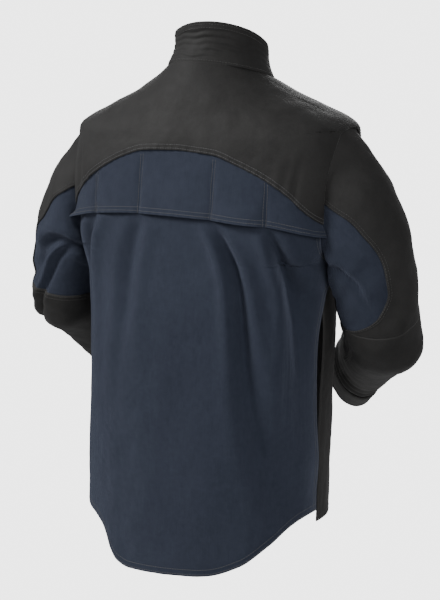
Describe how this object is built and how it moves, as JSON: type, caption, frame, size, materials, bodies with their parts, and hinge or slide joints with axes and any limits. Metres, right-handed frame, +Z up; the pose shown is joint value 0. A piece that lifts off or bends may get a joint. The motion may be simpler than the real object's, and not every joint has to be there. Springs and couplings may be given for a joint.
{
  "type": "welding jacket",
  "caption": "Long-tailed leather welding jacket with stand collar, vented cotton back, raised storm flap, jointed sleeves and snap cuff tabs.",
  "frame": {"origin": "the nape, at the middle of the hang loop", "axes": "+X wearer's left, -Y wearer's front, +Z up"},
  "size_m": [0.6831, 0.4072, 0.8525],
  "materials": {
    "black_leather": "matte grained",
    "navy_cotton": "twill",
    "lining": "plain weave",
    "label": "woven, blank",
    "webbing": "webbing",
    "snap_metal": "darkened"
  },
  "bodies": {
    "jacket": {"back_panel": "navy_cotton", "back_vent_flap": "navy_cotton", "back_vent_seam": "navy_cotton", "yoke": "black_leather", "yoke_lining": "lining", "left_front": "black_leather", "right_front": "black_leather", "left_facing": "black_leather", "right_facing": "black_leather", "collar_outer": "black_leather", "collar_lining": "lining", "hang_loop": "webbing", "neck_label": "label", "chest_pocket": "black_leather", "inside_pocket": "lining", "front_snap_studs": "snap_metal", "collar_snap_stud": "snap_metal", "pocket_snap_stud": "snap_metal"},
    "storm_flap": {"storm_flap": "black_leather", "storm_flap_sockets": "snap_metal", "storm_flap_caps": "snap_metal"},
    "pocket_flap": {"pocket_flap": "black_leather", "pocket_flap_socket": "snap_metal", "pocket_flap_cap": "snap_metal"},
    "collar_tab": {"collar_tab": "black_leather", "collar_tab_socket": "snap_metal", "collar_tab_cap": "snap_metal"},
    "left_upper_sleeve": {"left_sleeve_outer": "black_leather", "left_sleeve_gusset": "navy_cotton"},
    "left_forearm": {"left_forearm": "black_leather", "left_cuff": "black_leather", "left_cuff_stud": "snap_metal"},
    "left_cuff_tab": {"left_cuff_tab": "black_leather", "left_cuff_tab_socket": "snap_metal", "left_cuff_tab_cap": "snap_metal"},
    "right_upper_sleeve": {"right_sleeve_outer": "black_leather", "right_sleeve_gusset": "navy_cotton"},
    "right_forearm": {"right_forearm": "black_leather", "right_cuff": "black_leather", "right_cuff_stud": "snap_metal"},
    "right_cuff_tab": {"right_cuff_tab": "black_leather", "right_cuff_tab_socket": "snap_metal", "right_cuff_tab_cap": "snap_metal"}
  },
  "joints": [
    {"name": "storm_flap_hinge", "type": "hinge", "parent": "jacket", "child": "storm_flap", "pos_m": [0.027, -0.173, -0.395], "axis": [0, 0, 1], "range_deg": [0, 100]},
    {"name": "pocket_flap_hinge", "type": "hinge", "parent": "jacket", "child": "pocket_flap", "pos_m": [0.113, -0.1695, -0.24], "axis": [-1, 0, 0], "range_deg": [0, 100]},
    {"name": "collar_tab_hinge", "type": "hinge", "parent": "jacket", "child": "collar_tab", "pos_m": [0.026, -0.14, -0.022], "axis": [0, 0, 1], "range_deg": [0, 90]},
    {"name": "left_shoulder", "type": "hinge", "parent": "jacket", "child": "left_upper_sleeve", "pos_m": [0.226, -0.047, -0.11], "axis": [0, -1, 0], "range_deg": [0, 50]},
    {"name": "left_elbow", "type": "hinge", "parent": "left_upper_sleeve", "child": "left_forearm", "pos_m": [0.30744, -0.00285, -0.41511], "axis": [0.9182, -0.3009, 0.2575], "range_deg": [0, 40]},
    {"name": "left_cuff_tab_hinge", "type": "hinge", "parent": "left_forearm", "child": "left_cuff_tab", "pos_m": [0.32092, -0.21492, -0.53858], "axis": [0.0658, 0.757, 0.6501], "range_deg": [0, 100]},
    {"name": "right_shoulder", "type": "hinge", "parent": "jacket", "child": "right_upper_sleeve", "pos_m": [-0.226, -0.047, -0.11], "axis": [0, 1, 0], "range_deg": [0, 50]},
    {"name": "right_elbow", "type": "hinge", "parent": "right_upper_sleeve", "child": "right_forearm", "pos_m": [-0.32561, -0.02654, -0.43361], "axis": [0.7047, 0.6851, -0.1844], "range_deg": [0, 55]},
    {"name": "right_cuff_tab_hinge", "type": "hinge", "parent": "right_forearm", "child": "right_cuff_tab", "pos_m": [-0.19727, -0.24971, -0.53155], "axis": [0.5441, -0.6886, -0.4794], "range_deg": [0, 100]}
  ]
}
